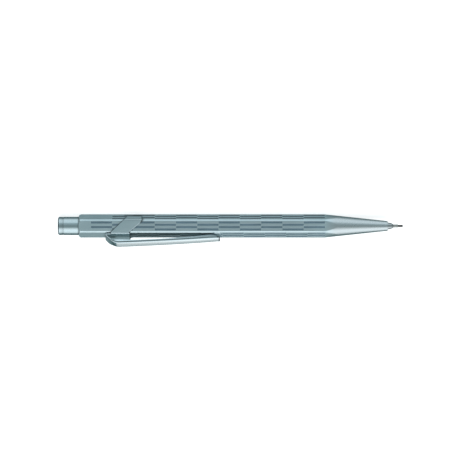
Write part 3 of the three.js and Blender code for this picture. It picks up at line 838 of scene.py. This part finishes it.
def build_turned():
    turned("polished_cap", [
        (-8.0, 0, 0), (-8.0, 3.0, 0.0), (-7.97, 3.12, 0.1), (-7.6, 3.52, 0.22), (-7.2, 3.52, 0.0),
        (-6.9, 3.5, 0.0), (-6.4, 3.5, 0.0), (-6.3, 3.45, 0.02), (-5.95, 3.45, 0.02), (-5.85, 3.52, 0.0),
        (-5.3, 3.52, 0.0), (-0.6, 3.52, 0.0), (-0.3, 3.52, 0.0), (0.0, 3.52, 0.0), (0.3, 3.52, 0.0),
        (0.7, 3.52, 0.0), (6.0, 3.52, 0.1), (6.0, 2.75, 0.1), (-6.8, 2.75, 0.2), (-6.8, 0, 0),
    ], "polished_metal", ["push_cap"], "cap", 128, ring=False, painted_shade=CAP_SHADE)
    turned("cap_grip", [
        (0.0, 2.72, 0.05), (5.5, 2.72, 0.05), (5.5, 2.45, 0.08), (0.0, 2.45, 0.08),
    ], "dark_plastic", ["cap_liner"], "cap")
    turned("eraser_stub", [
        (-6.3, 0, 0), (-6.3, 1.5, 0.15), (-6.12, 1.85, 0.15), (-5.75, 2.08, 0.3), (-1.55, 2.08, 0.1),
        (-1.55, 0, 0),
    ], "eraser_rubber", ["eraser"], "cartridge", ring=False)
    turned("eraser_cup", [
        (-1.5, 0, 0), (-1.5, 2.13, 0.0), (-4.3, 2.13, 0.05), (-4.3, 2.38, 0.08), (-3.1, 2.38, 0),
        (-3.0, 2.3, 0.05), (-2.8, 2.3, 0.05), (-2.7, 2.38, 0), (-1.03, 2.38, 0.05), (-1.03, 1.9, 0.03),
        (3.5, 1.9, 0.2), (3.5, 1.5, 0.05), (-0.9, 1.5, 0.1), (-0.9, 0, 0),
    ], "plain_brass", ["eraser_ferrule"], "cartridge", ring=False)
    turned("rear_bush", [
        (10.0, 2.5, 0.1), (10.0, 3.55, 0.1), (10.95, 3.55, 0.05), (10.95, 3.05, 0.03), (16.0, 3.05, 0.2),
        (16.0, 2.5, 0.1),
    ], "plain_brass", ["rear_guide_bush"], "barrel")
    turned("reservoir", [
        (-1.0, 2.4, 0.12), (20.0, 2.4, 0), (40.0, 2.4, 0), (60.0, 2.4, 0), (84.0, 2.4, 0.12),
        (84.0, 1.95, 0.1), (-1.0, 1.95, 0.1),
    ], "dark_plastic", ["lead_tube"], "cartridge")
    turned("chrome_nozzle", [
        (104.6, 1.25, 0.05), (104.6, 1.95, 0.1), (107.05, 1.95, 0), (107.05, 2.4, 0.05), (107.95, 2.4, 0.05),
        (107.95, 1.38, 0.05), (118.6, 1.38, 0.1), (119.2, 1.3, 0.2), (120.1, 1.1, 0.3), (120.8, 0.84, 0.08),
        (120.9, 0.68, 0.03), (120.9, 0.595, 0.02), (117.18, 0.595, 0), (117.18, 0.45, 0), (108.05, 0.45, 0),
        (108.05, 1.25, 0),
    ], "polished_metal", ["nozzle"], "barrel", painted_shade=NOZZLE_SHADE, finish="chrome")
    turned("steel_guide_pipe", [
        (117.2, 0.575, 0.02), (122.8, 0.575, 0.08), (122.8, 0.4, 0.05), (117.2, 0.4, 0.02),
    ], "bare_steel", ["guide_pipe"], "barrel", 64)
    turned("writing_lead", [
        (64.7, 0, 0), (64.7, 0.35, 0.05), (90.0, 0.35, 0), (122.9, 0.35, 0), (123.0, 0.385, 0.05),
        (124.5, 0.385, 0.12), (124.7, 0.17, 0.05), (124.7, 0, 0),
    ], "graphite", ["lead"], "writing_lead", 48, ring=False)


def build_spring():
    """The return spring, its end turns closed up."""
    wire, radius, turns = 0.17, 1.48, 10
    low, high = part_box("main_spring")
    start, end = station(low[0]) + wire, station(high[0]) - wire
    closed = 2.3 * wire  # pitch of a closed end turn
    sides, steps = 10, turns * 36
    centres = []
    for i in range(steps + 1):
        turn = turns * i / steps
        opened = min(max((turn - 1) / (turns - 2), 0), 1)
        shut = min(turn, 1) + max(turn - turns + 1, 0)
        angle = 2 * math.pi * turn
        s = start + shut * closed + opened * (end - start - 2 * closed)
        centres.append((s, Vector((0, math.cos(angle), math.sin(angle)))))
    loops = []
    for i, (s, out) in enumerate(centres):
        before, after = centres[max(i - 1, 0)], centres[min(i + 1, steps)]
        run = Vector((after[0] - before[0], 0, 0)) + (after[1] - before[1]) * radius
        aside = run.normalized().cross(out)
        loop = []
        for j in range(sides):
            a = 2 * math.pi * j / sides
            p = Vector((s, 0, 0)) + out * (radius + wire * math.cos(a)) + aside * wire * math.sin(a)
            loop.append(place(*p))
        loops.append(loop)
    vertices, faces = skin(loops)
    spring = piece("coil_spring", vertices, faces, "bare_steel", ["main_spring"], "barrel")
    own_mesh(spring)


def dress_cad_nodes():
    """The sealed mechanism keeps its CAD shapes and takes the same finishes."""
    slots = {row["node"]: row["material_slot"] for row in frame["record"]["subparts"]}
    for name, node in frame["nodes"].items():
        node.data.materials.clear()
        node.data.materials.append(MATERIALS[slots[name]])


# ---------------------------------------------------------------- studio

CAMERA_TILT = 60.0  # degrees from straight up towards +y: the camera faces the flat beside the clip's
FRAME_WIDTH = 0.1771
LENS = 200.0
SENSOR = 36.0
OFF_AXIS = 1.56  # mm of axis above the middle of the picture
OFF_CENTRE = -0.23  # station shift of the picture's middle, in mm
TENT_BASE = (0.25, 0.317, 0.327)
SOFTBOXES = [
    # angle from straight up towards +y, half width of the bright part, half width of the whole, colour
    (-6.0, 6.0, 53.0, (0.73, 0.755, 0.77)),
    (-3.0, 1.0, 24.0, (0.09, 0.09, 0.10)),
    (128.0, 4.0, 41.0, (0.47, 0.525, 0.56)),
    (91.0, 4.0, 24.0, (0.08, 0.105, 0.12)),
    (-68.0, 6.0, 30.0, (-0.15, -0.15, -0.155)),  # black flags take light away
    (206.0, 15.0, 40.0, (-0.13, -0.135, -0.135)),
]
END_SHADE = 0.2  # the tent's dark ends keep this much of its light
END_FADE = (0.58, 0.86)  # they begin and are full where a direction leans this much along the object
STAGE_RADIUS = 4.0


def build_world():
    """A light tent: a cool dim surround with long soft strips of light that run along the object."""
    world = bpy.data.worlds.new("light_tent")
    scene.world = world
    t = Tree(world)
    way = t.add("TexCoord").outputs["Generated"]
    flat = t.add("VectorMath", {"operation": "MULTIPLY"}, i0=way, i1=(0.0, 1.0, 1.0)).outputs[0]
    flat = t.add("VectorMath", {"operation": "NORMALIZE"}, i0=flat).outputs[0]
    total = None
    for angle, inner, outer, colour in SOFTBOXES:
        aim = direction(angle)
        dot = t.add("VectorMath", {"operation": "DOT_PRODUCT"}, i0=flat, i1=(0.0, aim.x, aim.y))
        glow = t.ramp(dot.outputs["Value"], math.cos(math.radians(outer)), math.cos(math.radians(inner)))
        light = t.add("VectorMath", {"operation": "SCALE"}, i0=colour)
        t.put(light, "Scale", glow)
        if total is None:
            total = light.outputs[0]
        else:
            total = t.add("VectorMath", {"operation": "ADD"}, i0=total, i1=light.outputs[0]).outputs[0]
    total = t.add("VectorMath", {"operation": "ADD"}, i0=total, i1=TENT_BASE).outputs[0]
    along = t.add("SeparateXYZ", i0=way).outputs[0]
    ends = t.ramp(t.math("ABSOLUTE", along), *END_FADE, 1.0, END_SHADE)
    total = t.add("VectorMath", {"operation": "SCALE"}, i0=total, Scale=ends).outputs[0]
    background = t.add("Background", Color=total, Strength=1.0)
    t.add("OutputWorld", Surface=background.outputs[0])


def stage_material(name, strength):
    """A faintly mottled white that glows enough to stay white."""
    material = bpy.data.materials.new(name)
    t = Tree(material)
    where = t.add("TexCoord").outputs["Object"]
    grain = t.noise(where, (30.0, 30.0, 30.0), 3.0)
    tint = t.mix(grain, (0.8, 0.8, 0.8), (0.84, 0.84, 0.84))
    diffuse = t.add("BsdfDiffuse", Color=tint)
    glow = t.add("Emission", Color=(1.0, 1.0, 1.0), Strength=strength)
    both = t.add("AddShader", i0=diffuse.outputs[0], i1=glow.outputs[0])
    t.add("OutputMaterial", Surface=both.outputs[0])
    return material


def build_stage():
    """A plain white floor, and a white dome for low views. The metal reflects the tent, not these."""
    work = bmesh.new()
    bmesh.ops.create_circle(work, cap_ends=True, segments=96, radius=STAGE_RADIUS)
    floor_mesh = bpy.data.meshes.new("floor")
    work.to_mesh(floor_mesh)
    work.free()
    floor_mesh.materials.append(stage_material("white_floor", 0.75))
    work = bmesh.new()
    bmesh.ops.create_uvsphere(work, u_segments=64, v_segments=32, radius=STAGE_RADIUS)
    dome_mesh = bpy.data.meshes.new("dome")
    work.to_mesh(dome_mesh)
    work.free()
    dome_mesh.materials.append(stage_material("white_dome", 1.2))
    for name, mesh in (("floor", floor_mesh), ("dome", dome_mesh)):
        obj = bpy.data.objects.new(name, mesh)
        scene.collection.objects.link(obj)
        obj.visible_glossy = False
        obj.visible_shadow = False
        obj.visible_transmission = False
        if name == "dome":
            obj.visible_diffuse = False


def build_camera():
    """A long lens, square to the flat beside the clip's, with the writing tip to the right."""
    back = direction(CAMERA_TILT)
    up = across(CAMERA_TILT)
    target = place(0, 0, 0)
    target.x = OFF_CENTRE * MM
    target -= Vector((0, up.x, up.y)) * OFF_AXIS * MM
    z_axis = Vector((0, back.x, back.y))
    y_axis = Vector((0, up.x, up.y))
    x_axis = y_axis.cross(z_axis)
    data = bpy.data.cameras.new("camera")
    data.lens = LENS
    data.sensor_width = SENSOR
    data.clip_start = 0.05
    data.clip_end = 20.0
    camera = bpy.data.objects.new("camera", data)
    scene.collection.objects.link(camera)
    spot = target + z_axis * (FRAME_WIDTH * LENS / SENSOR)
    turn = Matrix((x_axis, y_axis, z_axis)).transposed().to_4x4()
    camera.matrix_world = Matrix.Translation(spot) @ turn
    scene.camera = camera


build_camera()
build_world()
build_stage()
build_barrel()
build_strap()
build_arm()
build_turned()
build_spring()
dress_cad_nodes()
scene.view_settings.view_transform = "Standard"
